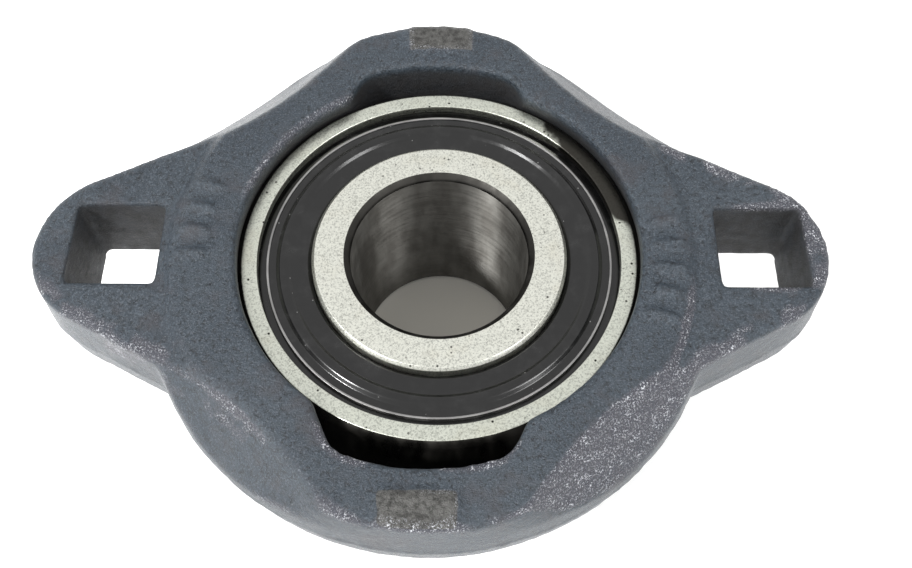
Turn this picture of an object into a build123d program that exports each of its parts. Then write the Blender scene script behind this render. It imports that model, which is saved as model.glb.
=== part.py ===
from build123d import *
import math
import os

os.makedirs("parts", exist_ok=True)

# Two-bolt flange mount bearing: a cast housing with two ears, and a self-aligning
# ball bearing insert held in its spherical seat.
# Origin: centre of the spherical seat, on the bore axis. +Z: out of the mounting
# face, where the bearing's rings end flush. +X: along the ears. Millimetres.

# Driving dimensions of the insert
bore_dia = 20.0
sphere_dia = 47.0
outer_width = 14.0
inner_length = 25.0
inner_outer_dia = 28.6
ball_dia = 7.938
ball_count = 8
pitch_dia = 33.5

# Driving dimensions of the housing
bolt_spacing = 71.4
bolt_hole = 9.9
ear_thickness = 10.6
ear_recess = 0.7
ring_depth = 2.4
hub_dia = 64.0
ear_radius = 10.2
ear_spacing = 68.4
flank_angle = 27.0
shoulder_reach = 26.4

# The cast outline sits a little off the machined bore, as sand castings do, and its
# slots and pads are turned a little from the line of the ears.
casting_shift_x = -0.9
casting_shift_y = -0.4
core_turn = -1.6

# Clearances
seat_clearance = 0.05
race_clearance = 0.05
pocket_clearance = 0.12
lip_clearance = 0.10

# Levels along the bore axis
flush_z = outer_width / 2
extended_z = flush_z - inner_length
hub_face_z = flush_z + ring_depth
ear_back_z = hub_face_z - ear_recess
ear_front_z = ear_back_z - ear_thickness
parting_z = 2.5
hub_front_z = -8.6

# Radii about the bore axis
bore_radius = bore_dia / 2
sphere_radius = sphere_dia / 2
pitch_radius = pitch_dia / 2
ball_radius = ball_dia / 2
race_radius = ball_radius + race_clearance
inner_radius = inner_outer_dia / 2
hub_radius = hub_dia / 2


def at_angle(radius, degrees, z=0.0):
    """A point at a radius and an angle about the bore axis."""
    turn = math.radians(degrees)
    return (radius * math.cos(turn), radius * math.sin(turn), z)


# ---------------------------------------------------------------- housing
draft = 4.5
seat_opening_radius = 22.3
face_disc_radius = 28.6
face_cap_radius = hub_radius - (hub_face_z - parting_z) * math.tan(math.radians(draft))
face_cap_width = 36.0
front_boss_radius = 27.6
front_boss_root = 29.8
front_edge_round = 1.8
front_step = 0.5
flank_inner_x = 20.0
hole_corner = 0.5

flank = math.radians(flank_angle)
flank_touch_x = ear_spacing / 2 + ear_radius * math.sin(flank)
flank_touch_y = ear_radius * math.cos(flank)
flank_inner_y = flank_touch_y + (flank_touch_x - flank_inner_x) * math.tan(flank)

# The shoulders slope at 45 degrees from the hub face down to the drafted side wall,
# hollowed about a point outside the casting.
shoulder_heading = 47.5
shoulder_hollow = 38.5
shoulder_drop = 5.6

slot_floor_z = -0.5
slot_reach = 25.1
slot_half_outer = 8.2
slot_half_middle = 19.6
slot_corner = 3.2

pad_width = 7.7
pad_depth = 3.9
pad_y = 29.4
pad_height = 0.45
pad_corner = 0.7

mark_radius = 26.2
mark_height = 0.3
mark_length = 3.2
mark_width = 0.8
mark_step = 6.5
mark_groups = ((173, 4), (-6, 5))

casting_axis = Axis((casting_shift_x, casting_shift_y, 0), (0, 0, 1))
casting_side = Plane(origin=casting_axis.position, x_dir=(1, 0, 0), z_dir=(0, -1, 0))
casting_base = Plane(origin=casting_axis.position)
core_base = casting_base.rotated((0, 0, core_turn))

with BuildPart() as housing:
    # Round hub: widest at the parting plane and drafted towards both faces.
    with BuildSketch(casting_side):
        with BuildLine():
            Polyline(
                (0, hub_front_z),
                (front_boss_radius - front_edge_round, hub_front_z),
                (front_boss_radius, hub_front_z + front_edge_round),
                (front_boss_root, ear_front_z),
                (hub_radius - front_step, ear_front_z),
                (hub_radius, parting_z),
                (face_cap_radius, hub_face_z),
                (0, hub_face_z),
                close=True,
            )
        make_face()
    revolve(axis=casting_axis)

    # The ears are a little lower than the hub face, outside a round boundary.
    with BuildSketch(casting_base.offset(ear_back_z)):
        Circle(2 * hub_radius)
        Circle(face_cap_radius, mode=Mode.SUBTRACT)
        Rectangle(2 * face_cap_width, 2 * face_cap_width)
        Rectangle(face_cap_width, 2 * hub_radius, mode=Mode.SUBTRACT)
        Circle(face_disc_radius, mode=Mode.SUBTRACT)
    extrude(amount=ring_depth, mode=Mode.SUBTRACT)

    # Two ears on one plate, drafted from the parting plane both ways.
    with BuildSketch(casting_base.offset(parting_z)) as ear_outline:
        Polygon(
            (flank_touch_x, flank_touch_y),
            (flank_inner_x, flank_inner_y),
            (-flank_inner_x, flank_inner_y),
            (-flank_touch_x, flank_touch_y),
            (-flank_touch_x, -flank_touch_y),
            (-flank_inner_x, -flank_inner_y),
            (flank_inner_x, -flank_inner_y),
            (flank_touch_x, -flank_touch_y),
        )
        with Locations((ear_spacing / 2, 0), (-ear_spacing / 2, 0)):
            Circle(ear_radius)
    extrude(amount=ear_back_z - parting_z, taper=draft)
    extrude(ear_outline.sketch, amount=parting_z - ear_front_z, dir=(0, 0, -1), taper=draft)

    # Four sloped shoulders, one on each diagonal of the hub, running out along the ears.
    for heading in (
        shoulder_heading,
        180 - shoulder_heading,
        180 + shoulder_heading,
        -shoulder_heading,
    ):
        pivot_x, pivot_y, _ = at_angle(shoulder_reach + shoulder_hollow, heading)
        pivot = (casting_shift_x + pivot_x, casting_shift_y + pivot_y, 0)
        side_plane = Plane(origin=pivot, x_dir=(1, 0, 0), z_dir=(0, -1, 0))
        with BuildSketch(side_plane):
            Polygon(
                (0, hub_face_z - shoulder_drop),
                (shoulder_hollow - shoulder_drop, hub_face_z - shoulder_drop),
                (shoulder_hollow + shoulder_drop, hub_face_z + shoulder_drop),
                (0, hub_face_z + shoulder_drop),
                align=None,
            )
        revolve(axis=Axis(pivot, (0, 0, 1)), mode=Mode.SUBTRACT)

    # Spherical seat, open at both ends.
    Sphere(sphere_radius + seat_clearance, mode=Mode.SUBTRACT)
    Cylinder(seat_opening_radius, 4 * hub_face_z, mode=Mode.SUBTRACT)

    # Two loading slots, which let the insert in edge on: one band right across the bore.
    with BuildSketch(core_base.offset(slot_floor_z)):
        Circle(slot_reach)
        Polygon(
            (slot_half_outer, slot_reach),
            (slot_half_middle, 0),
            (slot_half_outer, -slot_reach),
            (-slot_half_outer, -slot_reach),
            (-slot_half_middle, 0),
            (-slot_half_outer, slot_reach),
            mode=Mode.INTERSECT,
        )
        outer_corners = [v for v in vertices() if abs(v.Y - casting_shift_y) > slot_reach / 2]
        fillet(outer_corners, slot_corner)
    extrude(amount=hub_face_z - slot_floor_z, mode=Mode.SUBTRACT)

    # Square holes for carriage bolts, one through each ear.
    with BuildSketch(Plane.XY.offset(ear_front_z - 1)):
        with Locations((bolt_spacing / 2, 0), (-bolt_spacing / 2, 0)):
            RectangleRounded(bolt_hole, bolt_hole, hole_corner)
    extrude(amount=ear_thickness + 2, mode=Mode.SUBTRACT)

    # Raised pads at the hub's top and bottom.
    with BuildSketch(core_base.offset(hub_face_z)):
        with Locations((0, pad_y), (0, -pad_y)):
            RectangleRounded(pad_width, pad_depth, pad_corner)
    extrude(amount=pad_height, taper=10)

    # Plain raised casting marks: short bars along an arc on each side of the seat,
    # in groups with a middle heading and a count.
    with BuildSketch(casting_base.offset(hub_face_z)):
        for heading, count in mark_groups:
            for step in range(count):
                turn = heading + (step - (count - 1) / 2) * mark_step
                with PolarLocations(mark_radius, 1, start_angle=turn):
                    SlotOverall(mark_length, mark_width)
    extrude(amount=mark_height)
housing.part.label = "housing"
export_step(housing.part, "parts/housing.step")


# ---------------------------------------------------------------- rings
ring_corner = 0.6
outer_land_radius = 19.6
seal_seat_radius = 20.3
seal_groove_radius = 20.75
seal_shelf_z = 5.0
seal_groove_top_z = 6.0
inner_corner = 0.35
bore_corner = 0.7
inner_end_corner = 0.9

with BuildPart() as outer_ring:
    # Spherical outside, cut to width, with broken corners.
    with BuildSketch(Plane.XZ):
        with BuildLine():
            corner_z = flush_z - ring_corner
            sphere_r = math.sqrt(sphere_radius**2 - corner_z**2)
            face_r = sphere_r - ring_corner
            ThreePointArc((sphere_r, -corner_z), (sphere_radius, 0), (sphere_r, corner_z))
            Polyline(
                (sphere_r, corner_z),
                (face_r, flush_z),
                (seal_seat_radius, flush_z),
                (seal_seat_radius, seal_groove_top_z),
                (seal_groove_radius, seal_groove_top_z),
                (seal_groove_radius, seal_shelf_z),
                (outer_land_radius, seal_shelf_z),
                (outer_land_radius, -seal_shelf_z),
                (seal_groove_radius, -seal_shelf_z),
                (seal_groove_radius, -seal_groove_top_z),
                (seal_seat_radius, -seal_groove_top_z),
                (seal_seat_radius, -flush_z),
                (face_r, -flush_z),
                (sphere_r, -corner_z),
            )
        make_face()
        with Locations((pitch_radius, 0)):
            Circle(race_radius, mode=Mode.SUBTRACT)
    revolve(axis=Axis.Z)
outer_ring.part.label = "outer_ring"
export_step(outer_ring.part, "parts/outer_ring.step")

screw_radius = 3.0
screw_clearance = 0.05
screw_z = -13.4
screw_headings = (-30, -150)

with BuildPart() as inner_ring:
    # Flush with the outer ring on the mounting side and extended on the other.
    with BuildSketch(Plane.XZ):
        with BuildLine():
            Polyline(
                (bore_radius, flush_z - bore_corner),
                (bore_radius + bore_corner, flush_z),
                (inner_radius - inner_corner, flush_z),
                (inner_radius, flush_z - inner_corner),
                (inner_radius, extended_z + inner_end_corner),
                (inner_radius - inner_end_corner, extended_z),
                (bore_radius + bore_corner, extended_z),
                (bore_radius, extended_z + bore_corner),
                close=True,
            )
        make_face()
        with Locations((pitch_radius, 0)):
            Circle(race_radius, mode=Mode.SUBTRACT)
    revolve(axis=Axis.Z)

    # Two holes for the set screws, on the extended side.
    for heading in screw_headings:
        screw_plane = Plane(
            origin=at_angle(0, heading, screw_z),
            x_dir=(0, 0, 1),
            z_dir=at_angle(1, heading),
        )
        with BuildSketch(screw_plane):
            Circle(screw_radius + screw_clearance)
        extrude(amount=2 * inner_radius, mode=Mode.SUBTRACT)
inner_ring.part.label = "inner_ring"
export_step(inner_ring.part, "parts/inner_ring.step")


# ---------------------------------------------------------------- balls
for number in range(ball_count):
    heading = 360 / ball_count * number
    with BuildPart() as ball:
        with Locations(at_angle(pitch_radius, heading)):
            Sphere(ball_radius)
    ball.part.label = f"ball_{number + 1}"
    export_step(ball.part, f"parts/ball_{number + 1}.step")


# ---------------------------------------------------------------- cage
cage_sheet = 0.65
cage_inner_radius = 15.2
cage_outer_radius = 18.4
rivet_radius = 0.6
rivet_head_radius = 0.95
rivet_head_height = 0.35
pocket_radius = ball_radius + pocket_clearance
ribbon_mid_radius = (cage_inner_radius + cage_outer_radius) / 2
half_step = 180 / ball_count


# Two pressed ribbons, each with a round pocket over every ball.
for name, side in (("cage_upper", 1), ("cage_lower", -1)):
    with BuildPart() as cage_half:
        with BuildSketch(Plane.XY):
            Circle(cage_outer_radius)
        extrude(amount=side * cage_sheet)
        with PolarLocations(pitch_radius, ball_count):
            Sphere(pocket_radius + cage_sheet)
        with PolarLocations(pitch_radius, ball_count):
            Sphere(pocket_radius, mode=Mode.SUBTRACT)

        # Trimmed to one side of the mid plane and to the ribbon's width, with rivet holes.
        with BuildSketch(Plane.XY):
            Circle(cage_outer_radius)
            Circle(cage_inner_radius, mode=Mode.SUBTRACT)
            with PolarLocations(ribbon_mid_radius, ball_count, start_angle=half_step):
                Circle(rivet_radius, mode=Mode.SUBTRACT)
        extrude(amount=side * sphere_radius, mode=Mode.INTERSECT)
    cage_half.part.label = name
    export_step(cage_half.part, f"parts/{name}.step")

with BuildPart() as cage_rivets:
    # One rivet between each two balls, with a flat head on both sheets.
    with PolarLocations(ribbon_mid_radius, ball_count, start_angle=half_step):
        Cylinder(rivet_radius, 2 * cage_sheet)
    for side in (1, -1):
        with BuildSketch(Plane.XY.offset(side * cage_sheet)):
            with PolarLocations(ribbon_mid_radius, ball_count, start_angle=half_step):
                Circle(rivet_head_radius)
        extrude(amount=side * rivet_head_height)
cage_rivets.part.label = "cage_rivets"
export_step(cage_rivets.part, "parts/cage_rivets.step")


# ---------------------------------------------------------------- seals
core_sheet = 0.25
core_rim_radius = 19.4
core_inner_radius = 15.4
core_rim_top = 6.1
core_web_z = 5.3
rubber_bottom = seal_shelf_z + 0.05
rubber_edge_top = 5.45
rubber_face = 5.95
rubber_edge_radius = seal_groove_radius - 0.05
bead_radius = 17.5
bead_top = 6.3
bead_half_width = 0.3
bead_slope = 0.2
lip_slope = 0.4
lip_radius = inner_radius + lip_clearance


# Each seal is a steel stiffener, a flat web with a turned-up rim, and the rubber
# moulded around it: snap edge, beaded face and lip.
for level, side in (("upper", 1), ("lower", -1)):
    rim_inner = core_rim_radius - core_sheet
    web_top = core_web_z + core_sheet
    with BuildPart() as seal_core:
        with BuildSketch(Plane.XZ):
            with BuildLine():
                Polyline(
                    (core_rim_radius, side * core_web_z),
                    (core_rim_radius, side * core_rim_top),
                    (rim_inner, side * core_rim_top),
                    (rim_inner, side * web_top),
                    (core_inner_radius, side * web_top),
                    (core_inner_radius, side * core_web_z),
                    close=True,
                )
            make_face()
        revolve(axis=Axis.Z)
    seal_core.part.label = f"{level}_seal_core"
    export_step(seal_core.part, f"parts/{level}_seal_core.step")

    with BuildPart() as seal_rubber:
        with BuildSketch(Plane.XZ):
            with BuildLine():
                Polyline(
                    (rubber_edge_radius, side * rubber_bottom),
                    (rubber_edge_radius, side * rubber_edge_top),
                    (core_rim_radius, side * rubber_edge_top),
                    (core_rim_radius, side * core_web_z),
                    (core_inner_radius, side * core_web_z),
                    (core_inner_radius, side * web_top),
                    (rim_inner, side * web_top),
                    (rim_inner, side * rubber_face),
                    (bead_radius + bead_half_width + bead_slope, side * rubber_face),
                    (bead_radius + bead_half_width, side * bead_top),
                    (bead_radius - bead_half_width, side * bead_top),
                    (bead_radius - bead_half_width - bead_slope, side * rubber_face),
                    (lip_radius + lip_slope, side * rubber_face),
                    (lip_radius, side * (rubber_face - lip_slope)),
                    (lip_radius, side * core_web_z),
                    (lip_radius + lip_slope, side * rubber_bottom),
                    close=True,
                )
            make_face()
        revolve(axis=Axis.Z)
    seal_rubber.part.label = f"{level}_seal_rubber"
    export_step(seal_rubber.part, f"parts/{level}_seal_rubber.step")


# ---------------------------------------------------------------- set screws
screw_length = 4.9
screw_tip_radius = bore_radius + 0.15
socket_width = 3.0
socket_depth = 2.4
screw_end_corner = 0.5
cup_radius = 1.4
cup_depth = 0.7

for number, heading in enumerate(screw_headings):
    tip_plane = Plane(
        origin=at_angle(screw_tip_radius, heading, screw_z),
        x_dir=(0, 0, 1),
        z_dir=at_angle(1, heading),
    )
    with BuildPart() as set_screw:
        with BuildSketch(tip_plane):
            Circle(screw_radius)
        extrude(amount=screw_length)
        chamfer(edges(), screw_end_corner)

        # Cup point towards the shaft and a hexagon socket outside.
        with BuildSketch(tip_plane):
            Circle(cup_radius)
        extrude(amount=cup_depth, taper=40, mode=Mode.SUBTRACT)
        with BuildSketch(tip_plane.offset(screw_length)):
            RegularPolygon(socket_width / 2, 6, major_radius=False)
        extrude(amount=-socket_depth, mode=Mode.SUBTRACT)
    set_screw.part.label = f"set_screw_{number + 1}"
    export_step(set_screw.part, f"parts/set_screw_{number + 1}.step")
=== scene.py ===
import math

import bpy
import numpy as np
from mathutils import Matrix, Vector, noise


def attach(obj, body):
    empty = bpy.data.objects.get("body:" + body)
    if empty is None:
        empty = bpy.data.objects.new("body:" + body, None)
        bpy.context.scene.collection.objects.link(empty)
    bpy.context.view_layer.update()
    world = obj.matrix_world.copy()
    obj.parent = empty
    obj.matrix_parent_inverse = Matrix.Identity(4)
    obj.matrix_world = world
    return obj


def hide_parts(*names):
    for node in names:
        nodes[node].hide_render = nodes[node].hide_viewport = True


# A two-bolt flange mount bearing, seen from its mounting side. The cast housing, the
# rings, the seals and the set screws get finer meshes around the CAD frame; the balls
# and the cage keep their CAD meshes. Metres throughout.
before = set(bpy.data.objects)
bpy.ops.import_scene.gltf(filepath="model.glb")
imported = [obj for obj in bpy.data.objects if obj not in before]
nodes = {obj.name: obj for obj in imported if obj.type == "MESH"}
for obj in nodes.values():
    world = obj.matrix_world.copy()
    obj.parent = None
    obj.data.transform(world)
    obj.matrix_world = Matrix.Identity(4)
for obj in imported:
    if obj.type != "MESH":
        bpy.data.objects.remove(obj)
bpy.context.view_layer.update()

MM = 0.001
SHARP_ANGLE = math.radians(35)
FILLET_STEPS = 4

# The insert's levels and radii that the CAD model fixes, in millimetres
FLUSH_Z = 7.0
EXTENDED_Z = -18.0
SPHERE_RADIUS = 23.5
PITCH_RADIUS = 16.75
RACE_RADIUS = 4.019
BORE_RADIUS = 10.0
INNER_RADIUS = 14.3
OUTER_LAND_RADIUS = 19.6
SEAL_SEAT_RADIUS = 20.3
SEAL_GROOVE_RADIUS = 20.75
SEAL_SHELF_Z = 5.0
SEAL_GROOVE_TOP_Z = 6.0
RING_CORNER = 0.6
INNER_CORNER = 0.35
BORE_CORNER = 0.7
INNER_END_CORNER = 0.9
SCREW_Z = -13.4
SCREW_HEADINGS = (-30, -150)

# The housing's, in millimetres and, for headings, degrees
HUB_FACE_Z = 9.4
EAR_FRONT_Z = -1.9
PARTING_Z = 2.5
SEAT_RADIUS = 23.55
SLOT_REACH = 25.1
BOLT_HALF_SPACING = 35.7
BOLT_HOLE_HALF = 4.95
CASTING_SHIFT = (-0.9, -0.4)
EAR_CENTRE_X = 34.2
EAR_RADIUS = 10.2
FLANK_ANGLE = math.radians(27)
SHOULDER_PIVOT = 64.9
SHOULDER_HOLLOW = 38.5
SHOULDER_HEADING = 47.5
FACE_CAP_RADIUS = 31.46
MARK_RADIUS = 26.2
MARK_HALF_RUN = 1.2
MARK_STEP = 6.5
MARK_GROUPS = ((173, 4), (-6, 5))
PAD_CENTRES = ((-0.08, 29.0), (-1.72, -29.8))
PAD_HALF_SIZE = (3.85, 1.95)


# ------------------------------------------------------------------ node helpers
def new_material(name):
    """A node material, with its tree and its Principled node."""
    material = bpy.data.materials.new(name)
    material.use_nodes = True
    tree = material.node_tree
    return material, tree, tree.nodes["Principled BSDF"]


def add(tree, kind, inputs, **settings):
    """A node with its settings and its inputs, each a value or another node's output."""
    node = tree.nodes.new(kind)
    for key, value in settings.items():
        setattr(node, key, value)
    for key, value in inputs.items():
        if isinstance(value, bpy.types.NodeSocket):
            tree.links.new(value, node.inputs[key])
        else:
            node.inputs[key].default_value = value
    return node


def grain(tree, place, scale, detail=2.0, roughness=0.5, stretch=(1, 1, 1)):
    """Noise from about 0 to 1, in object space; scale is in features per metre."""
    if stretch != (1, 1, 1):
        place = add(tree, "ShaderNodeMapping", {"Vector": place, "Scale": stretch}).outputs[0]
    made = {"Vector": place, "Scale": scale, "Detail": detail, "Roughness": roughness}
    return add(tree, "ShaderNodeTexNoise", made).outputs["Fac"]


def cells(tree, place, scale):
    """(distance to the nearest cell's point, that cell's random number)."""
    node = add(tree, "ShaderNodeTexVoronoi", {"Vector": place, "Scale": scale})
    number = add(tree, "ShaderNodeSeparateColor", {"Color": node.outputs["Color"]})
    return node.outputs["Distance"], number.outputs[0]


def maths(tree, operation, a, b=0.0):
    return add(tree, "ShaderNodeMath", {0: a, 1: b}, operation=operation).outputs[0]


def between(tree, value, low, high, out_low=0.0, out_high=1.0):
    """value mapped from low..high to out_low..out_high, smoothly and clamped."""
    made = {"Value": value, "From Min": low, "From Max": high}
    made |= {"To Min": out_low, "To Max": out_high}
    return add(tree, "ShaderNodeMapRange", made, interpolation_type="SMOOTHSTEP").outputs["Result"]


def blend_colour(tree, share, a, b):
    """Colour a where share is 0 and b where it is 1; a Mix node's colours are inputs 6 and 7."""
    return add(tree, "ShaderNodeMix", {0: share, 6: a, 7: b}, data_type="RGBA").outputs[2]


def bump(tree, height, strength, distance):
    made = {"Height": height, "Strength": strength, "Distance": distance * MM}
    return add(tree, "ShaderNodeBump", made).outputs["Normal"]


def shade(tree, principled, links, **values):
    """Links and plain values for the Principled node; values are set on its own sockets."""
    for key, socket in links.items():
        tree.links.new(socket, principled.inputs[key])
    for key, value in values.items():
        principled.inputs[key.replace("_", " ")].default_value = value


def places(tree):
    return tree.nodes.new("ShaderNodeTexCoord").outputs["Object"]


# ------------------------------------------------------------------ mesh helpers
def mesh_object(name, points, faces, material):
    """A mesh object from points in millimetres, smooth except across sharp edges."""
    mesh = bpy.data.meshes.new(name)
    mesh.from_pydata([tuple(c * MM for c in p) for p in points], [], faces)
    mesh.update()
    mesh.materials.append(material)
    mesh.shade_smooth()
    mesh.set_sharp_from_angle(angle=SHARP_ANGLE)
    made = bpy.data.objects.new(name, mesh)
    bpy.context.scene.collection.objects.link(made)
    return made


def rounded(corners):
    """A closed outline from (x, z, fillet radius) corners, with an arc at each corner."""
    outline = []
    for i, (x, z, radius) in enumerate(corners):
        here = Vector((x, z))
        before = Vector(corners[i - 1][:2]) - here
        after = Vector(corners[(i + 1) % len(corners)][:2]) - here
        if radius == 0:
            outline.append((x, z))
            continue
        half = before.angle(after) / 2
        reach = min(radius / math.tan(half), 0.45 * before.length, 0.45 * after.length)
        radius = reach * math.tan(half)
        start = here + before.normalized() * reach
        end = here + after.normalized() * reach
        bisector = (before.normalized() + after.normalized()).normalized()
        centre = here + bisector * radius / math.sin(half)
        for step in range(FILLET_STEPS + 1):
            spoke = (start - centre).slerp(end - centre, step / FILLET_STEPS).normalized()
            outline.append(tuple(centre + spoke * radius))
    return outline


def arc(centre_x, radius, start, end, steps):
    """Corners along an arc about (centre_x, 0), with no fillet, angles in degrees."""
    made = []
    for step in range(steps + 1):
        turn = math.radians(start + (end - start) * step / steps)
        made.append((centre_x + radius * math.cos(turn), radius * math.sin(turn), 0))
    return made


def lathe(name, outline, material, columns=256):
    """A closed outline in (radius, z) turned about the bore axis."""
    points, faces = [], []
    count = len(outline)
    for column in range(columns):
        turn = 2 * math.pi * column / columns
        points += [(r * math.cos(turn), r * math.sin(turn), z) for r, z in outline]
    for column in range(columns):
        a, b = column * count, (column + 1) % columns * count
        faces += [(a + i, b + i, b + (i + 1) % count, a + (i + 1) % count) for i in range(count)]
    return mesh_object(name, points, faces, material)


# ------------------------------------------------------------------ cast housing
# Mesh size, softening rounds and heights of the relief, in millimetres
VOXEL = 0.37
SOFTEN_ROUNDS = 7
SURROUNDINGS_ROUNDS = 30
CORNER_ROUNDING = 0.75
CORNER_REACH = 3.0
MARK_HEIGHT = 0.24
WAVE_HEIGHT = 0.055
FINE_WAVE_HEIGHT = 0.030
GRAIN_HEIGHT = 0.030
PITTING_HEIGHT = 0.10
FLASH_HEIGHT = 0.16
SEAT_MARGIN = 0.02


def cast_iron_material():
    """Slate paint over sand-cast iron; masks say where it is bare, worn to a roughened finish or
    painted lighter as if lit, and where shade is painted into its recesses.
    """
    material, tree, principled = new_material("painted_cast_iron")
    place = places(tree)
    bare, wear_and_lit_shoulder, recess_shade = [
        add(tree, "ShaderNodeAttribute", {}, attribute_name=name).outputs["Fac"]
        for name in ("bare", "wear_and_lit_shoulder", "recess_shade")
    ]

    # Paint: a slate grey with broad dusty patches, warmer spots and fine sandy grain
    patches = grain(tree, place, 90, detail=4, roughness=0.6)
    sand = grain(tree, place, 1700, detail=5, roughness=0.8)
    grit = grain(tree, place, 5000, detail=2, roughness=0.7)
    blue, dusty = (0.018, 0.027, 0.038, 1), (0.030, 0.041, 0.053, 1)
    paint = blend_colour(tree, between(tree, patches, 0.3, 0.7), blue, dusty)
    hollows = between(tree, sand, 0.54, 0.38, 0.0, 0.9)
    paint = blend_colour(tree, hollows, paint, (0.002, 0.004, 0.007, 1))
    peaks = between(tree, grit, 0.50, 0.66, 0.0, 0.7)
    paint = blend_colour(tree, peaks, paint, (0.080, 0.098, 0.118, 1))
    warm = between(tree, grain(tree, place, 260, detail=3), 0.52, 0.72, 0.0, 0.45)
    paint = blend_colour(tree, warm, paint, (0.038, 0.034, 0.038, 1))

    # Rough rims and the lower-right shoulder painted lighter as if lit: thin purplish-grey paint,
    # with clusters of bare grains painted near-white as glints
    cluster = between(tree, grain(tree, place, 900, detail=2), 0.42, 0.62)
    fleck = between(tree, grain(tree, place, 5200, detail=4, roughness=0.8), 0.53, 0.59)
    fleck = maths(tree, "MULTIPLY", fleck, maths(tree, "MAXIMUM", cluster, 0.3))
    thin = between(tree, wear_and_lit_shoulder, 0.15, 0.8, 0.0, 0.7)
    paint = blend_colour(tree, thin, paint, (0.046, 0.045, 0.058, 1))
    painted_glint_share = maths(tree, "MULTIPLY", fleck, between(tree, wear_and_lit_shoulder, 0.2, 0.75))

    # Bare pads: brownish-grey metal, darker in its pits
    blotch = grain(tree, place, 1500, detail=4, roughness=0.7)
    pitted, scraped = (0.035, 0.034, 0.032, 1), (0.098, 0.097, 0.092, 1)
    bare_colour = blend_colour(tree, between(tree, blotch, 0.35, 0.62), pitted, scraped)
    colour = blend_colour(tree, between(tree, bare, 0.3, 0.6), paint, bare_colour)
    # Painted glints: the flecks' near-white colour stands in for light caught by bare grains
    colour = blend_colour(tree, painted_glint_share, colour, (0.92, 0.94, 1.0, 1))
    # Painted shade: near-black in the seat, the loading slots and on the square holes' walls
    colour = blend_colour(tree, recess_shade, colour, (0.017, 0.0165, 0.017, 1))

    bare_metal = between(tree, bare, 0.3, 0.6, 0.0, 0.5)
    metal = maths(tree, "MAXIMUM", bare_metal, maths(tree, "MULTIPLY", painted_glint_share, 0.25))
    gloss = between(tree, sand, 0.3, 0.7, 0.27, 0.42)
    gloss = maths(tree, "SUBTRACT", gloss, maths(tree, "MULTIPLY", painted_glint_share, 0.12))
    gloss = maths(tree, "ADD", gloss, maths(tree, "MULTIPLY", recess_shade, 0.3))

    height = maths(tree, "ADD", sand, maths(tree, "MULTIPLY", grit, 0.6))
    height = maths(tree, "ADD", height, maths(tree, "MULTIPLY", painted_glint_share, 0.9))
    shade(
        tree,
        principled,
        {
            "Base Color": colour,
            "Metallic": metal,
            "Roughness": gloss,
            "Normal": bump(tree, height, 1.0, 0.17),
        },
        IOR=1.48,
    )
    return material


def voxel_copy(node, name):
    """A copy of a CAD node's shape as an even mesh of small quads."""
    source = bpy.data.objects.new(name, nodes[node].data.copy())
    bpy.context.scene.collection.objects.link(source)
    weld = source.modifiers.new("weld", "WELD")
    weld.merge_threshold = 0.002 * MM
    remesh = source.modifiers.new("remesh", "REMESH")
    remesh.mode, remesh.voxel_size, remesh.adaptivity = "VOXEL", VOXEL * MM, 0
    evaluated = source.evaluated_get(bpy.context.evaluated_depsgraph_get())
    mesh = bpy.data.meshes.new_from_object(evaluated)
    source.modifiers.clear()
    source.data = mesh
    mesh.name = name
    mesh.materials.clear()
    return source


def read_points(mesh):
    flat = np.zeros(3 * len(mesh.vertices), np.float32)
    mesh.vertices.foreach_get("co", flat)
    return flat.reshape(-1, 3).astype(float) / MM


def write_points(mesh, points):
    mesh.vertices.foreach_set("co", (points * MM).astype(np.float32).ravel())
    mesh.update()


def read_normals(mesh):
    flat = np.zeros(3 * len(mesh.vertices), np.float32)
    mesh.vertex_normals.foreach_get("vector", flat)
    return flat.reshape(-1, 3).astype(float)


class Neighbours:
    """The edges of a mesh, for averages over each point's neighbours."""

    def __init__(self, mesh):
        flat = np.zeros(2 * len(mesh.edges), np.int32)
        mesh.edges.foreach_get("vertices", flat)
        self.ends = flat.reshape(-1, 2)
        self.count = len(mesh.vertices)
        self.number = np.maximum(np.bincount(flat, minlength=self.count), 1)

    def mean(self, values):
        a, b = self.ends.T
        columns = values.reshape(self.count, -1)
        total = np.stack(
            [
                np.bincount(a, column[b], self.count) + np.bincount(b, column[a], self.count)
                for column in columns.T
            ],
            axis=1,
        )
        return (total / self.number[:, None]).reshape(values.shape)

    def relaxed(self, values, rounds):
        """The values, moved half way to their neighbours' mean in each round."""
        for _ in range(rounds):
            values = values + 0.5 * (self.mean(values) - values)
        return values


def fractal(points, size, octaves, seed):
    """Smooth noise from about -1 to 1 at each point; size is its broadest feature."""
    shift = Vector((seed * 17.3, seed * 5.1, seed * 9.7))
    return np.array([noise.fractal(Vector(p) / size + shift, 1.0, 2.0, octaves) for p in points])


def smoothstep(values, low, high):
    """0 at low, 1 at high and a smooth curve between them."""
    t = np.clip((values - low) / (high - low), 0, 1)
    return t * t * (3 - 2 * t)


def store(mesh, name, values):
    """Keeps a value for each point under a name that the material reads."""
    attribute = mesh.attributes.new(name, "FLOAT", "POINT")
    attribute.data.foreach_set("value", values.astype(np.float32))


def ear_inset(x, y):
    """How far inside the ears' outline each point lies, seen along the bore axis."""
    along = np.abs(x - CASTING_SHIFT[0]) - EAR_CENTRE_X
    across = np.abs(y - CASTING_SHIFT[1])
    from_tip = EAR_RADIUS - np.hypot(along, across)
    from_flank = EAR_RADIUS - along * math.sin(FLANK_ANGLE) - across * math.cos(FLANK_ANGLE)
    return np.where(along > across * math.tan(FLANK_ANGLE), from_tip, from_flank)


def hump(values, middle, width):
    """1 at the middle, fading to 0 over a few widths on both sides."""
    return np.exp(-(((values - middle) / width) ** 2))


def casting_place(radius, heading):
    """(x, y) at a radius and a heading about the casting's own middle."""
    turn = math.radians(heading)
    middle_x, middle_y = CASTING_SHIFT
    return middle_x + radius * math.cos(turn), middle_y + radius * math.sin(turn)


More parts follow.
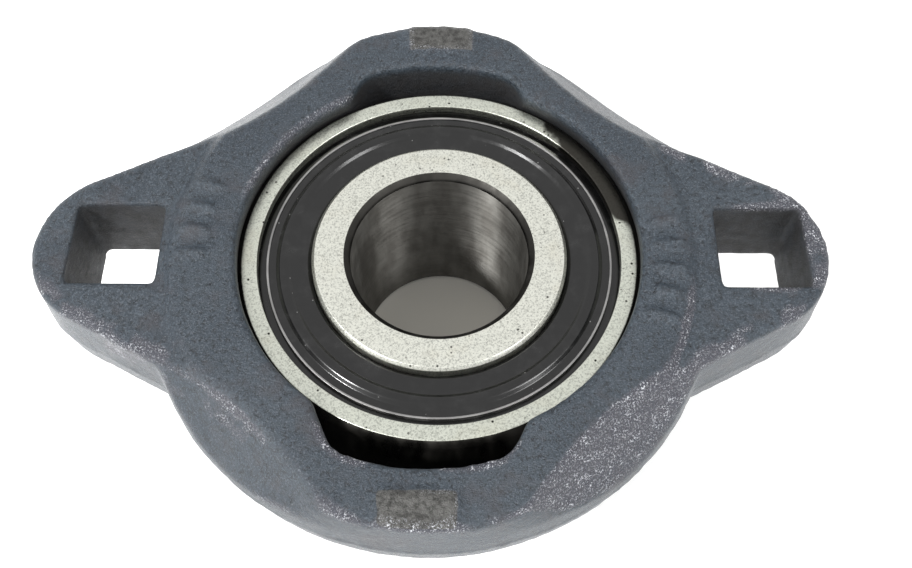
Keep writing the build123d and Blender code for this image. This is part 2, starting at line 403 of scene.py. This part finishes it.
def corner_inset(x, y, z):
    """How far each point moves in, where a shoulder runs into the hub's rim in a curve."""
    radius = np.hypot(x, y)
    hollow = SHOULDER_HOLLOW - (HUB_FACE_Z - z)
    squares = SHOULDER_PIVOT**2 + FACE_CAP_RADIUS**2 - hollow**2
    cosine = squares / (2 * SHOULDER_PIVOT * FACE_CAP_RADIUS)
    corner_heading = math.radians(SHOULDER_HEADING) + np.arccos(np.clip(cosine, -1, 1))
    along = radius * (np.arctan2(np.abs(y), np.abs(x)) - corner_heading)
    inset = CORNER_ROUNDING * np.exp(-np.abs(along) / CORNER_REACH)
    return inset * smoothstep(radius, 26.0, 30.5) * smoothstep(z, 4.5, 7.0)


def mark_relief(x, y):
    """1 on the short raised bars that stand on the hub's face, fading at their edges."""
    relief = np.zeros(len(x))
    headings = [
        middle + MARK_STEP * (step - (count - 1) / 2)
        for middle, count in MARK_GROUPS
        for step in range(count)
    ]
    for heading in headings:
        centre_x, centre_y = casting_place(MARK_RADIUS, heading)
        turn = math.radians(heading)
        along = (x - centre_x) * math.cos(turn) + (y - centre_y) * math.sin(turn)
        across = (y - centre_y) * math.cos(turn) - (x - centre_x) * math.sin(turn)
        distance = np.hypot(np.maximum(np.abs(along) - MARK_HALF_RUN, 0), across)
        relief = np.maximum(relief, 1 - smoothstep(distance, 0.2, 0.65))
    return relief


def soften(points, near):
    """Edges as moulding sand leaves them, but crisp at the seat and the square holes.

    Returns the points, then for each point how much it belongs to the seat and to a hole's
    walls, from 0 to 1, and its distance from the middle of a hole, measured square.
    """
    softened = near.relaxed(points, SOFTEN_ROUNDS)
    seat_distance = np.abs(np.linalg.norm(points, axis=1) - SEAT_RADIUS)
    machined = 1 - smoothstep(seat_distance, 0.4, 1.2)
    machined *= np.abs(points[:, 2]) < FLUSH_Z + 1
    from_square = np.abs(np.abs(points[:, 0]) - BOLT_HALF_SPACING)
    from_square = np.maximum(from_square, np.abs(points[:, 1]))
    hole = 1 - smoothstep(np.abs(from_square - BOLT_HOLE_HALF), 0.5, 1.3)
    crisp = np.maximum(0.5 * machined, hole)
    points = softened + crisp[:, None] * (points - softened)

    # Rounder corners between the shoulders and the hub's rim
    spoke = points[:, :2] - CASTING_SHIFT
    inset = corner_inset(spoke[:, 0], spoke[:, 1], points[:, 2])
    points[:, :2] -= spoke * (inset / np.maximum(np.hypot(*spoke.T), 1.0))[:, None]
    return points, machined, hole, from_square


def wear_and_lit_shoulder_mask(points, normals, near, broad, outside):
    """How far the paint is chipped or worn through to roughened metal, from 0 to 1; the
    lower-right shoulder is painted lighter as if lit.
    """
    x, y, z = points.T
    upper = smoothstep(z, PARTING_Z - 1, PARTING_Z + 2)
    front = smoothstep(-y, 1.0, 9.0)

    # Chipped rims: where points stand out from their smoothed surroundings
    outward = points - near.relaxed(points, SURROUNDINGS_ROUNDS)
    convex = (outward * normals).sum(1)
    rim = smoothstep(near.relaxed(convex, 4), 0.05, 0.30)
    right_ear = smoothstep(x, 30.0, 36.0)
    chipped = rim * smoothstep(broad, -0.35, 0.25) * np.maximum(front, right_ear)

    # The sloping lower-right shoulder, painted lighter as if lit, and the foot of the wall
    lean = 1 - smoothstep(normals[:, 2], 0.90, 0.985)
    slope = lean * smoothstep(normals[:, 2], 0.35, 0.6) * upper
    painted_lit_shoulder = slope * front * smoothstep(x, 3.0, 9.0) * (1 - smoothstep(x, 27.0, 31.0))
    painted_lit_shoulder *= 0.6 + 0.4 * smoothstep(z, 5.0, 8.5)
    wall_foot = (1 - smoothstep(np.abs(z - EAR_FRONT_Z - 0.4), 0.3, 1.6)) * outside

    # Worn bands: the ears' edges, the lower-left shoulder's upper edge, the seat's upper left
    cluster = smoothstep(fractal(points, 2.4, 3, 7), -0.25, 0.30)
    edge_zone = smoothstep(z, HUB_FACE_Z - 2.6, HUB_FACE_Z - 1.4)
    ear_edge = hump(ear_inset(x, y), 1.3, 1.0) * smoothstep(np.abs(x), 24.0, 27.0) * edge_zone
    ear_edge *= np.maximum(x > 0, smoothstep(-y, 1.0, 4.0))
    pivot_x, pivot_y = casting_place(SHOULDER_PIVOT, 180 + SHOULDER_HEADING)
    from_pivot = np.hypot(x - pivot_x, y - pivot_y)
    ridge = hump(from_pivot, SHOULDER_HOLLOW - 0.8, 0.45) * (0.5 + 0.5 * cluster)
    ridge = np.maximum(ridge, 0.5 * hump(from_pivot, SHOULDER_HOLLOW - 2.0, 1.0) * cluster)
    ridge *= smoothstep(-x, 16.0, 18.0) * smoothstep(z, HUB_FACE_Z - 5.0, HUB_FACE_Z - 4.0)
    seat_edge = hump(np.hypot(x, y), 22.7, 0.5) * smoothstep(y - x, 26.0, 29.0)
    seat_edge *= z > HUB_FACE_Z - 1.2
    worn = np.maximum.reduce([ear_edge * cluster, ridge, 0.7 * seat_edge])
    wear_and_lit_shoulder = np.maximum.reduce([chipped * upper, painted_lit_shoulder, 0.45 * wall_foot]) * outside
    return np.clip(np.maximum(wear_and_lit_shoulder, worn), 0, 1)


def pad_masks(points, broad, ragged):
    """(bare metal on the two pads, their rough rims), from 0 to 1, with ragged borders."""
    x, y, z = points.T
    bare = rims = np.zeros(len(points))
    on_pad = z > HUB_FACE_Z + 0.1
    half_x, half_y = PAD_HALF_SIZE
    for pad_x, pad_y in PAD_CENTRES:
        inset = np.minimum(half_x - np.abs(x - pad_x), half_y - np.abs(y - pad_y))
        bare = np.maximum(bare, smoothstep(inset + 0.22 * ragged, -0.15, 0.25) * on_pad)
        rim = 0.8 * hump(inset, 0.2, 0.3) * on_pad * smoothstep(broad, -0.6, 0.2)
        rims = np.maximum(rims, rim)
    return bare, rims


def relief(points, normals, bare, wear_and_lit_shoulder, broad, outside):
    """Heights of the sand texture, the parting flash and the raised marks, in millimetres."""
    x, y, z = points.T

    # Broad waves and grain, with deeper pitting where the casting is bare or rough
    grain_height = GRAIN_HEIGHT * fractal(points, 1.3, 3, 3)
    waves = WAVE_HEIGHT * broad + FINE_WAVE_HEIGHT * fractal(points, 4.0, 2, 4)
    pitting = PITTING_HEIGHT * fractal(points, 0.95, 2, 5)

    # Flash left where the two halves of the mould met
    upright = smoothstep(np.hypot(normals[:, 0], normals[:, 1]), 0.7, 0.95)
    flash = hump(z, PARTING_Z, 0.35) * upright
    flash_height = FLASH_HEIGHT * flash * outside * (0.5 + 0.5 * fractal(points, 2.2, 3, 6))

    marks = MARK_HEIGHT * mark_relief(x, y) * (z > HUB_FACE_Z - 1.0)
    return waves + grain_height + (0.35 * bare + wear_and_lit_shoulder) * pitting + flash_height + marks


def recess_shade_mask(points, from_square, ragged):
    """Painted shade in the seat and the loading slots, and on the walls of the square holes."""
    x, y, z = points.T
    below = 1 - smoothstep(z, HUB_FACE_Z - 1.6, HUB_FACE_Z - 0.5)
    from_centre = np.hypot(x - CASTING_SHIFT[0], y - CASTING_SHIFT[1])
    slots = (1 - smoothstep(from_centre, SLOT_REACH + 0.1, SLOT_REACH + 0.6)) * below
    walls = (from_square < BOLT_HOLE_HALF + 0.25) * below * (0.85 + 0.35 * ragged)
    return np.clip(np.maximum(slots * (0.9 + 0.2 * ragged), walls), 0, 1)


def make_housing():
    housing = voxel_copy("housing", "housing_casting")
    mesh = housing.data
    near = Neighbours(mesh)
    points, machined, hole, from_square = soften(read_points(mesh), near)
    write_points(mesh, points)

    normals = read_normals(mesh)
    outside = smoothstep(np.hypot(points[:, 0], points[:, 1]), 23.6, 24.6)
    broad = fractal(points, 9.0, 3, 1)
    ragged = fractal(points, 1.1, 3, 2)
    bare, pad_rims = pad_masks(points, broad, ragged)
    wear_and_lit_shoulder = wear_and_lit_shoulder_mask(points, normals, near, broad, outside)
    wear_and_lit_shoulder = np.maximum(wear_and_lit_shoulder, pad_rims)

    height = relief(points, normals, bare, wear_and_lit_shoulder, broad, outside)
    height *= 1 - np.maximum(machined, 0.6 * hole)
    points += normals * height[:, None]
    # Painted shade in the seat, the loading slots and on the square holes' walls
    recess_shade = recess_shade_mask(points, from_square, ragged)

    # Nothing may reach into the seat, which the ring turns in
    distance = np.linalg.norm(points, axis=1)
    reach = SEAT_RADIUS + SEAT_MARGIN
    inside = distance < reach
    points[inside] *= (reach / distance[inside])[:, None]
    write_points(mesh, points)

    for mask_name, mask in (("bare", bare), ("wear_and_lit_shoulder", wear_and_lit_shoulder), ("recess_shade", recess_shade)):
        store(mesh, mask_name, near.relaxed(mask, 1))
    mesh.materials.append(cast_iron_material())
    mesh.shade_smooth()
    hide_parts("housing")
    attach(housing, "housing")


make_housing()


# ------------------------------------------------------------------ steel
# Where a dark reflection is painted on the outer ring's face, in millimetres
DARK_REFLECTION_CENTRE = (42.9, 25.8, 7.0)
DARK_REFLECTION_RADIUS = 31.4


def dark_reflection_patch(tree, place):
    """1 inside a ragged patch about DARK_REFLECTION_CENTRE, where a dark reflection is painted."""
    made = {0: place, 1: tuple(c * MM for c in DARK_REFLECTION_CENTRE)}
    reach = add(tree, "ShaderNodeVectorMath", made, operation="DISTANCE").outputs["Value"]
    ragged = between(tree, grain(tree, place, 300, detail=5), 0.3, 0.7, -0.6 * MM, 0.6 * MM)
    reach = maths(tree, "ADD", reach, ragged)
    return between(tree, reach, (DARK_REFLECTION_RADIUS + 0.4) * MM, (DARK_REFLECTION_RADIUS - 0.4) * MM)


def ground_steel(name, tone, speckle, dark_reflection_share=0.0):
    """Bright ground bearing steel, with fine grinding marks, specks and nicks, and a painted dark
    reflection where dark_reflection_share is set.
    """
    material, tree, principled = new_material(name)
    place = places(tree)
    fine = grain(tree, place, 5200, detail=3, roughness=0.75)
    cloud = grain(tree, place, 260, detail=3)
    dark = tuple(c * 0.52 for c in tone[:3]) + (1,)
    colour = blend_colour(tree, between(tree, fine, 0.32, 0.56), dark, tone)
    stain = between(tree, cloud, 0.52, 0.72, 0.0, 0.22)
    stained = tuple(c * fade for c, fade in zip(tone[:3], (0.80, 0.74, 0.64))) + (1,)
    colour = blend_colour(tree, stain, colour, stained)
    dark_reflection = maths(tree, "MULTIPLY", dark_reflection_patch(tree, place), dark_reflection_share)
    # Painted reflection: a near-black patch on the outer ring's face at the upper right
    colour = blend_colour(tree, dark_reflection, colour, (0.026, 0.023, 0.020, 1))
    distance, number = cells(tree, place, 2100)
    chosen = between(tree, number, 0.95, 0.97)
    nick = maths(tree, "MULTIPLY", chosen, between(tree, distance, 0.36, 0.20))
    nick = maths(tree, "MULTIPLY", nick, speckle)
    colour = blend_colour(tree, nick, colour, (0.03, 0.028, 0.025, 1))
    gloss = between(tree, fine, 0.25, 0.75, 0.27, 0.41)
    gloss = maths(tree, "ADD", gloss, maths(tree, "MULTIPLY", nick, 0.3))
    height = maths(tree, "SUBTRACT", maths(tree, "MULTIPLY", fine, 0.4), nick)
    shade(
        tree,
        principled,
        {"Base Color": colour, "Roughness": gloss, "Normal": bump(tree, height, 0.35, 0.02)},
        Metallic=1.0,
    )
    return material


def polished_steel(name, tone, roughness):
    """Plain bright steel with faint streaks and fingerprints in its gloss."""
    material, tree, principled = new_material(name)
    place = places(tree)
    streaks = grain(tree, place, 500, detail=4, stretch=(1, 1, 0.12))
    dark = tuple(c * 0.8 for c in tone[:3]) + (1,)
    colour = blend_colour(tree, between(tree, streaks, 0.3, 0.7), dark, tone)
    gloss = between(tree, streaks, 0.3, 0.7, roughness * 0.7, roughness * 1.4)
    height = grain(tree, place, 3500, detail=2)
    shade(
        tree,
        principled,
        {"Base Color": colour, "Roughness": gloss, "Normal": bump(tree, height, 0.12, 0.01)},
        Metallic=1.0,
    )
    return material


def honed_steel():
    """The bore: grey steel honed round and round, so its highlights run along the axis."""
    material, tree, principled = new_material("bore_steel")
    place = places(tree)
    smear = grain(tree, place, 420, detail=4, stretch=(1, 1, 0.35))
    lines = grain(tree, place, 2500, detail=3, stretch=(0.1, 0.1, 1))
    dull, bright = (0.115, 0.11, 0.10, 1), (0.20, 0.195, 0.18, 1)
    colour = blend_colour(tree, between(tree, smear, 0.3, 0.7), dull, bright)
    gloss = between(tree, lines, 0.3, 0.7, 0.44, 0.54)
    shade(
        tree,
        principled,
        {"Base Color": colour, "Roughness": gloss, "Normal": bump(tree, lines, 0.05, 0.01)},
        Metallic=1.0,
        Anisotropic=0.95,
        Anisotropic_Rotation=0.25,
    )
    return material


def black_oxide_material():
    material, tree, principled = new_material("black_oxide")
    place = places(tree)
    wear = between(tree, grain(tree, place, 1400, detail=4, roughness=0.7), 0.58, 0.75)
    colour = blend_colour(tree, wear, (0.022, 0.022, 0.024, 1), (0.16, 0.15, 0.145, 1))
    gloss = between(tree, grain(tree, place, 3000), 0.3, 0.7, 0.28, 0.45)
    shade(tree, principled, {"Base Color": colour, "Roughness": gloss}, Metallic=0.9)
    return material


def seal_rubber_material():
    """Black moulded rubber, a little oily, with dust."""
    material, tree, principled = new_material("seal_rubber")
    place = places(tree)
    dust = between(tree, grain(tree, place, 420, detail=5, roughness=0.7), 0.45, 0.8)
    colour = blend_colour(tree, dust, (0.004, 0.004, 0.004, 1), (0.014, 0.014, 0.014, 1))
    distance, number = cells(tree, place, 2600)
    chosen = between(tree, number, 0.985, 0.990)
    mote = maths(tree, "MULTIPLY", chosen, between(tree, distance, 0.25, 0.12))
    colour = blend_colour(tree, mote, colour, (0.16, 0.16, 0.155, 1))
    gloss = between(tree, dust, 0.0, 1.0, 0.18, 0.34)
    height = grain(tree, place, 2600, detail=3)
    shade(
        tree,
        principled,
        {"Base Color": colour, "Roughness": gloss, "Normal": bump(tree, height, 0.10, 0.015)},
        IOR=1.5,
    )
    return material


outer_steel = ground_steel("outer_ring_steel", (0.66, 0.68, 0.60, 1), 1.0, dark_reflection_share=0.96)
seat_steel = polished_steel("outer_ring_seat_steel", (0.10, 0.095, 0.085, 1), 0.35)
inner_steel = ground_steel("inner_ring_steel", (0.76, 0.765, 0.69, 1), 0.9)
bore_steel = honed_steel()
# Near-black steel on the bore's chamfers is painted shade
shaded_bore_chamfer_steel = polished_steel("shaded_bore_chamfer_steel", (0.05, 0.048, 0.044, 1), 0.45)
ball_steel = polished_steel("ball_steel", (0.72, 0.72, 0.72, 1), 0.07)
cage_steel = polished_steel("cage_steel", (0.50, 0.49, 0.46, 1), 0.30)
core_steel = polished_steel("seal_core_steel", (0.34, 0.335, 0.33, 1), 0.45)
black_oxide = black_oxide_material()
seal_rubber = seal_rubber_material()


# ------------------------------------------------------------------ rings
HOLE_RADIUS = 3.05
HOLE_INNER_MOUTH = 3.35
HOLE_OUTER_MOUTH = 3.45


def race(radius, side):
    """The groove's arc, from its lower edge to its upper, seen from side 1 out or -1 in."""
    half = math.degrees(math.acos(abs(radius - PITCH_RADIUS) / RACE_RADIUS))
    middle = 0 if side > 0 else 180
    return arc(PITCH_RADIUS, RACE_RADIUS, middle - side * half, middle + side * half, 24)


def make_outer_ring():
    corner_z = FLUSH_Z - RING_CORNER
    corner_r = math.sqrt(SPHERE_RADIUS**2 - corner_z**2)
    face_r = corner_r - RING_CORNER
    lean = math.degrees(math.asin(corner_z / SPHERE_RADIUS))
    outside = arc(0, SPHERE_RADIUS, -lean, lean, 32)
    upper = [
        (face_r, FLUSH_Z, 0.18),
        (SEAL_SEAT_RADIUS, FLUSH_Z, 0.12),
        (SEAL_SEAT_RADIUS, SEAL_GROOVE_TOP_Z, 0.05),
        (SEAL_GROOVE_RADIUS, SEAL_GROOVE_TOP_Z, 0.05),
        (SEAL_GROOVE_RADIUS, SEAL_SHELF_Z, 0.08),
        (OUTER_LAND_RADIUS, SEAL_SHELF_Z, 0.12),
    ]
    lower = [(r, -z, fillet) for r, z, fillet in reversed(upper)]
    corners = outside + upper + race(OUTER_LAND_RADIUS, 1)[::-1] + lower
    ring = lathe("outer_ring_ground", rounded(corners), outer_steel, columns=320)
    ring.data.materials.append(seat_steel)
    # The spherical outside has a darker steel than the ground faces
    for face in ring.data.polygons:
        if face.center.length > (SPHERE_RADIUS - 0.4) * MM:
            face.material_index = 1
    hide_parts("outer_ring")
    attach(ring, "insert")


def make_inner_ring():
    outside = [
        (INNER_RADIUS - INNER_END_CORNER, EXTENDED_Z, 0.12),
        (INNER_RADIUS, EXTENDED_Z + INNER_END_CORNER, 0.2),
        *race(INNER_RADIUS, -1),
        (INNER_RADIUS, FLUSH_Z - INNER_CORNER, 0.1),
        (INNER_RADIUS - INNER_CORNER, FLUSH_Z, 0.1),
    ]
    bore = [
        (BORE_RADIUS + BORE_CORNER, FLUSH_Z, 0.15),
        (BORE_RADIUS, FLUSH_Z - BORE_CORNER, 0.7),
        (BORE_RADIUS, EXTENDED_Z + BORE_CORNER, 0.2),
        (BORE_RADIUS + BORE_CORNER, EXTENDED_Z, 0.15),
    ]
    ring = lathe("inner_ring_ground", rounded(outside + bore), inner_steel, columns=256)
    ring.data.materials.append(bore_steel)
    ring.data.materials.append(shaded_bore_chamfer_steel)
    # The bore's wall has its own steel; the chamfers at its two ends get near-black steel, which
    # is painted shade
    bore_reach = (BORE_RADIUS + BORE_CORNER + 0.02) * MM
    for face in ring.data.polygons:
        level = abs(face.normal.z)
        if math.hypot(face.center.x, face.center.y) < bore_reach and level < 0.95:
            face.material_index = 1 if level < 0.2 else 2
    for number, heading in enumerate(SCREW_HEADINGS, 1):
        cut_screw_hole(ring, heading, f"hole_{number}")
    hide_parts("inner_ring")
    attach(ring, "inner_ring")


def heading_matrix(heading, radius):
    """Local +Z points outwards at a heading, from a radius about the bore axis."""
    out = Vector((math.cos(math.radians(heading)), math.sin(math.radians(heading)), 0))
    up = Vector((0, 0, 1))
    turned = Matrix((up, out.cross(up), out)).transposed().to_4x4()
    turned.translation = out * radius * MM + up * SCREW_Z * MM
    return turned


def cut_screw_hole(ring, heading, name):
    """A round hole with a small chamfer at each end, cut with a boolean."""
    rows = [
        (HOLE_INNER_MOUTH, -2.0),
        (HOLE_INNER_MOUTH, 0.0),
        (HOLE_RADIUS, 0.35),
        (HOLE_RADIUS, 4.0),
        (HOLE_OUTER_MOUTH, 4.42),
        (HOLE_OUTER_MOUTH, 8.0),
    ]
    columns = 64
    points, faces = [(0, 0, rows[0][1])], []
    for radius, height in rows:
        for column in range(columns):
            turn = 2 * math.pi * column / columns
            points.append((radius * math.cos(turn), radius * math.sin(turn), height))
    points.append((0, 0, rows[-1][1]))
    for c in range(columns):
        d = (c + 1) % columns
        faces.append((0, 1 + d, 1 + c))
        for row in range(len(rows) - 1):
            a = 1 + row * columns
            faces.append((a + c, a + d, a + columns + d, a + columns + c))
        last = 1 + (len(rows) - 1) * columns
        faces.append((last + c, last + d, len(points) - 1))
    cutter = mesh_object(name, points, faces, inner_steel)
    cutter.matrix_world = heading_matrix(heading, BORE_RADIUS - 0.05)
    bpy.context.view_layer.update()
    cut = ring.modifiers.new(name, "BOOLEAN")
    cut.operation, cut.solver, cut.object = "DIFFERENCE", "EXACT", cutter
    evaluated = ring.evaluated_get(bpy.context.evaluated_depsgraph_get())
    mesh = bpy.data.meshes.new_from_object(evaluated)
    ring.modifiers.clear()
    ring.data = mesh
    bpy.data.objects.remove(cutter)


make_outer_ring()
make_inner_ring()


# ------------------------------------------------------------------ seals
# Radii and levels of the upper seal, in millimetres; the lower one mirrors it
CORE_RIM_RADIUS = 19.4
CORE_RIM_INNER = 19.15
CORE_INNER_RADIUS = 15.4
CORE_RIM_TOP = 6.1
CORE_WEB_TOP = 5.55
CORE_WEB_Z = 5.3
RUBBER_EDGE_RADIUS = 20.7
RUBBER_EDGE_TOP = 5.45
RUBBER_FACE = 5.95
RUBBER_BOTTOM = 5.05
BEAD_TOP = 6.3
LIP_RADIUS = 14.4
LIP_SLOPE = 0.4


def make_seal(level, side):
    """A steel core and the rubber moulded around it; side is 1 for upper, -1 for lower."""
    core = [
        (CORE_RIM_RADIUS, CORE_WEB_Z, 0.1),
        (CORE_RIM_RADIUS, CORE_RIM_TOP, 0.06),
        (CORE_RIM_INNER, CORE_RIM_TOP, 0.06),
        (CORE_RIM_INNER, CORE_WEB_TOP, 0.08),
        (CORE_INNER_RADIUS, CORE_WEB_TOP, 0.05),
        (CORE_INNER_RADIUS, CORE_WEB_Z, 0.05),
    ]
    rubber = [
        (RUBBER_EDGE_RADIUS, RUBBER_BOTTOM, 0.1),
        (RUBBER_EDGE_RADIUS, RUBBER_EDGE_TOP, 0.12),
        (CORE_RIM_RADIUS, RUBBER_EDGE_TOP, 0.02),
        (CORE_RIM_RADIUS, CORE_WEB_Z, 0),
        (CORE_INNER_RADIUS, CORE_WEB_Z, 0),
        (CORE_INNER_RADIUS, CORE_WEB_TOP, 0),
        (CORE_RIM_INNER, CORE_WEB_TOP, 0),
        (CORE_RIM_INNER, RUBBER_FACE, 0.02),
        (18.35, 5.92, 0.25),
        (17.85, BEAD_TOP, 0.55),
        (17.1, BEAD_TOP, 0.55),
        (16.6, 5.92, 0.4),
        (LIP_RADIUS + LIP_SLOPE, RUBBER_FACE, 0.2),
        (LIP_RADIUS, RUBBER_FACE - LIP_SLOPE, 0.12),
        (LIP_RADIUS, CORE_WEB_Z, 0.1),
        (LIP_RADIUS + LIP_SLOPE, RUBBER_BOTTOM, 0.15),
    ]
    for part, corners, material in (("core", core, core_steel), ("rubber", rubber, seal_rubber)):
        outline = [(r, side * z) for r, z in rounded(corners)]
        seal = lathe(f"{level}_seal_{part}_ring", outline[::side], material, columns=256)
        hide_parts(f"{level}_seal_{part}")
        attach(seal, "insert")


make_seal("upper", 1)
make_seal("lower", -1)


# ------------------------------------------------------------------ set screws
SCREW_RADIUS = 3.0
SCREW_LENGTH = 4.9
THREAD_PITCH = 1.0
THREAD_DEPTH = 0.5
SOCKET_HALF_WIDTH = 1.5
SOCKET_DEPTH = 2.4
SCREW_END_RADIUS = 2.35
SOCKET_DRILL_RADIUS = 1.35
SOCKET_CHAMFER = 0.15
TAPER_RADIUS = 2.4
TAPER_SLOPE = 1.1
SCREW_TIP_RADIUS = 10.15


def make_set_screw(number, heading):
    """A threaded body with a cup point, and a hexagon socket in its outer end."""
    columns, rows = 72, 64
    points, faces = [], []

    def ring_of(radius_at, height):
        for column in range(columns):
            turn = 2 * math.pi * column / columns
            radius = radius_at(turn)
            points.append((radius * math.cos(turn), radius * math.sin(turn), height))

    def hexagon(turn):
        sixth = math.pi / 3
        return SOCKET_HALF_WIDTH / math.cos((turn + sixth / 2) % sixth - sixth / 2)

    # Cup point, from its centre outwards
    cup = ((0.05, 0.75), (0.7, 0.6), (1.35, 0.02), (1.45, 0.0), (SCREW_END_RADIUS, 0.0))
    for radius, height in cup:
        ring_of(lambda turn, r=radius: r, height)

    # Threaded side: a ridge that climbs one pitch per turn, fading at both ends
    def thread(height):
        def radius_at(turn):
            phase = (height / THREAD_PITCH - turn / (2 * math.pi)) % 1
            ridge = min(1.0, max(0.0, 1.6 * (abs(2 * phase - 1) - 0.12)))
            radius = SCREW_RADIUS - THREAD_DEPTH * (1 - ridge)
            point_taper = TAPER_RADIUS + height * TAPER_SLOPE
            end_taper = TAPER_RADIUS + 0.05 + (SCREW_LENGTH - height) * TAPER_SLOPE
            return min(radius, point_taper, end_taper)

        return radius_at

    for row in range(rows + 1):
        height = 0.05 + (SCREW_LENGTH - 0.1) * row / rows
        ring_of(thread(height), height)

    # Outer end: a flat rim, the socket's chamfer, walls and drilled bottom
    ring_of(lambda turn: SCREW_END_RADIUS, SCREW_LENGTH)
    ring_of(lambda turn: hexagon(turn) + SOCKET_CHAMFER, SCREW_LENGTH)
    ring_of(hexagon, SCREW_LENGTH - SOCKET_CHAMFER)
    ring_of(hexagon, SCREW_LENGTH - SOCKET_DEPTH)
    ring_of(lambda turn: SOCKET_DRILL_RADIUS, SCREW_LENGTH - SOCKET_DEPTH - 0.05)
    ring_of(lambda turn: 0.05, SCREW_LENGTH - SOCKET_DEPTH - 0.6)

    count = len(points) // columns
    for row in range(count - 1):
        for column in range(columns):
            a, b = row * columns + column, row * columns + (column + 1) % columns
            faces.append((a, b, b + columns, a + columns))
    faces.append(tuple(range(columns))[::-1])
    faces.append(tuple(range((count - 1) * columns, count * columns)))
    screw = mesh_object(f"set_screw_{number}_threaded", points, faces, black_oxide)
    screw.matrix_world = heading_matrix(heading, SCREW_TIP_RADIUS)
    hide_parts(f"set_screw_{number}")
    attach(screw, f"set_screw_{number}")


for screw_number, screw_heading in enumerate(SCREW_HEADINGS, 1):
    make_set_screw(screw_number, screw_heading)


# ------------------------------------------------------------------ hidden CAD nodes
def refinish(node, material):
    """A new material and slot for a CAD node that keeps its mesh."""
    for index in range(max(1, len(node.material_slots))):
        if index < len(node.material_slots):
            node.material_slots[index].material = material
        else:
            node.data.materials.append(material)


for node_name, node_object in nodes.items():
    if node_name.startswith("ball_"):
        refinish(node_object, ball_steel)
    elif node_name.startswith("cage_"):
        refinish(node_object, cage_steel)


# ------------------------------------------------------------------ camera
# Place in metres, angles in degrees, lens in millimetres on a 36 mm sensor
CAMERA_PLACE = (0.001685, -0.05396, 0.10155)
CAMERA_DOWN = 62.17
CAMERA_AZIMUTH = 0.24
CAMERA_ROLL = 0.57
CAMERA_LENS = 38.41
CAMERA_SENSOR = 36


def make_camera():
    camera = bpy.data.objects.new("camera", bpy.data.cameras.new("camera"))
    down, azimuth = math.radians(CAMERA_DOWN), math.radians(CAMERA_AZIMUTH)
    level_run = math.cos(down)
    ahead = Vector(
        (math.sin(azimuth) * level_run, math.cos(azimuth) * level_run, -math.sin(down))
    )
    right = Vector((math.cos(azimuth), -math.sin(azimuth), 0))
    up = right.cross(ahead)
    level = Matrix((right, up, -ahead)).transposed()
    turned = level @ Matrix.Rotation(math.radians(CAMERA_ROLL), 3, "Z")
    camera.matrix_world = Matrix.Translation(CAMERA_PLACE) @ turned.to_4x4()
    camera.data.lens, camera.data.sensor_width = CAMERA_LENS, CAMERA_SENSOR
    camera.data.clip_start, camera.data.clip_end = 0.005, 20
    bpy.context.scene.collection.objects.link(camera)
    bpy.context.scene.camera = camera


make_camera()


# ------------------------------------------------------------------ floor and light
# Millimetres, but for the strengths of the glow
FLOOR_HALF = 900.0
FLOOR_GAP = 0.01
GLOW_START_RADIUS = 24
GLOW_FULL_RADIUS = 34
GLOW_BACK_REACH = 70
GLOW_FRONT = 0.2
GLOW_BACK = 0.95
GLOW_BELOW = 0.05


def make_floor():
    """A pale light table that glows around the part, most at the back left; under the part a
    shadow is painted, tan and barely glowing.
    """
    material, tree, principled = new_material("pale_floor")
    place = places(tree)
    tone = between(tree, grain(tree, place, 40, detail=4), 0.3, 0.7)
    colour = blend_colour(tree, tone, (0.86, 0.865, 0.86, 1), (0.90, 0.90, 0.895, 1))
    reach = add(tree, "ShaderNodeVectorMath", {0: place}, operation="LENGTH").outputs["Value"]
    # Painted shadow under the part: a tan floor colour and less glow within GLOW_START_RADIUS,
    # fading out by GLOW_FULL_RADIUS
    clear_of_painted_shadow = between(tree, reach, GLOW_START_RADIUS * MM, GLOW_FULL_RADIUS * MM)
    colour = blend_colour(tree, clear_of_painted_shadow, (0.70, 0.67, 0.58, 1), colour)
    made = {0: place, 1: (-0.8, 0.6, 0)}
    back = add(tree, "ShaderNodeVectorMath", made, operation="DOT_PRODUCT").outputs["Value"]
    strength = between(tree, back, 0.0, GLOW_BACK_REACH * MM, GLOW_FRONT, GLOW_BACK)
    glow = maths(tree, "ADD", maths(tree, "MULTIPLY", clear_of_painted_shadow, strength), GLOW_BELOW)
    shade(tree, principled, {"Base Color": colour, "Emission Strength": glow}, Roughness=0.6)
    principled.inputs["Emission Color"].default_value = (1, 1, 1, 1)
    level = EXTENDED_Z - FLOOR_GAP
    signs = ((-1, -1), (1, -1), (1, 1), (-1, 1))
    corners = [(sign_x * FLOOR_HALF, sign_y * FLOOR_HALF, level) for sign_x, sign_y in signs]
    floor = mesh_object("pale_floor", corners, [(0, 1, 2, 3)], material)


def area_light(name, place, size, power):
    """A round soft light aimed at the origin; place and size in metres, power in watts."""
    light = bpy.data.lights.new(name, "AREA")
    light.shape, light.size, light.energy = "DISK", size, power
    made = bpy.data.objects.new(name, light)
    made.location = place
    made.rotation_mode = "QUATERNION"
    made.rotation_quaternion = (-Vector(place)).to_track_quat("-Z", "Y")
    bpy.context.scene.collection.objects.link(made)


def make_light():
    world = bpy.data.worlds.new("studio")
    world.use_nodes = True
    world.node_tree.nodes["Background"].inputs["Color"].default_value = (1.0, 1.0, 1.0, 1)
    world.node_tree.nodes["Background"].inputs["Strength"].default_value = 1.0
    bpy.context.scene.world = world
    area_light("front_left", (-0.36, -0.225, 0.42), 0.08, 3.6)
    area_light("front_right", (0.36, -0.225, 0.42), 0.20, 1.3)
    bpy.context.scene.view_settings.view_transform = "Standard"


make_floor()
make_light()
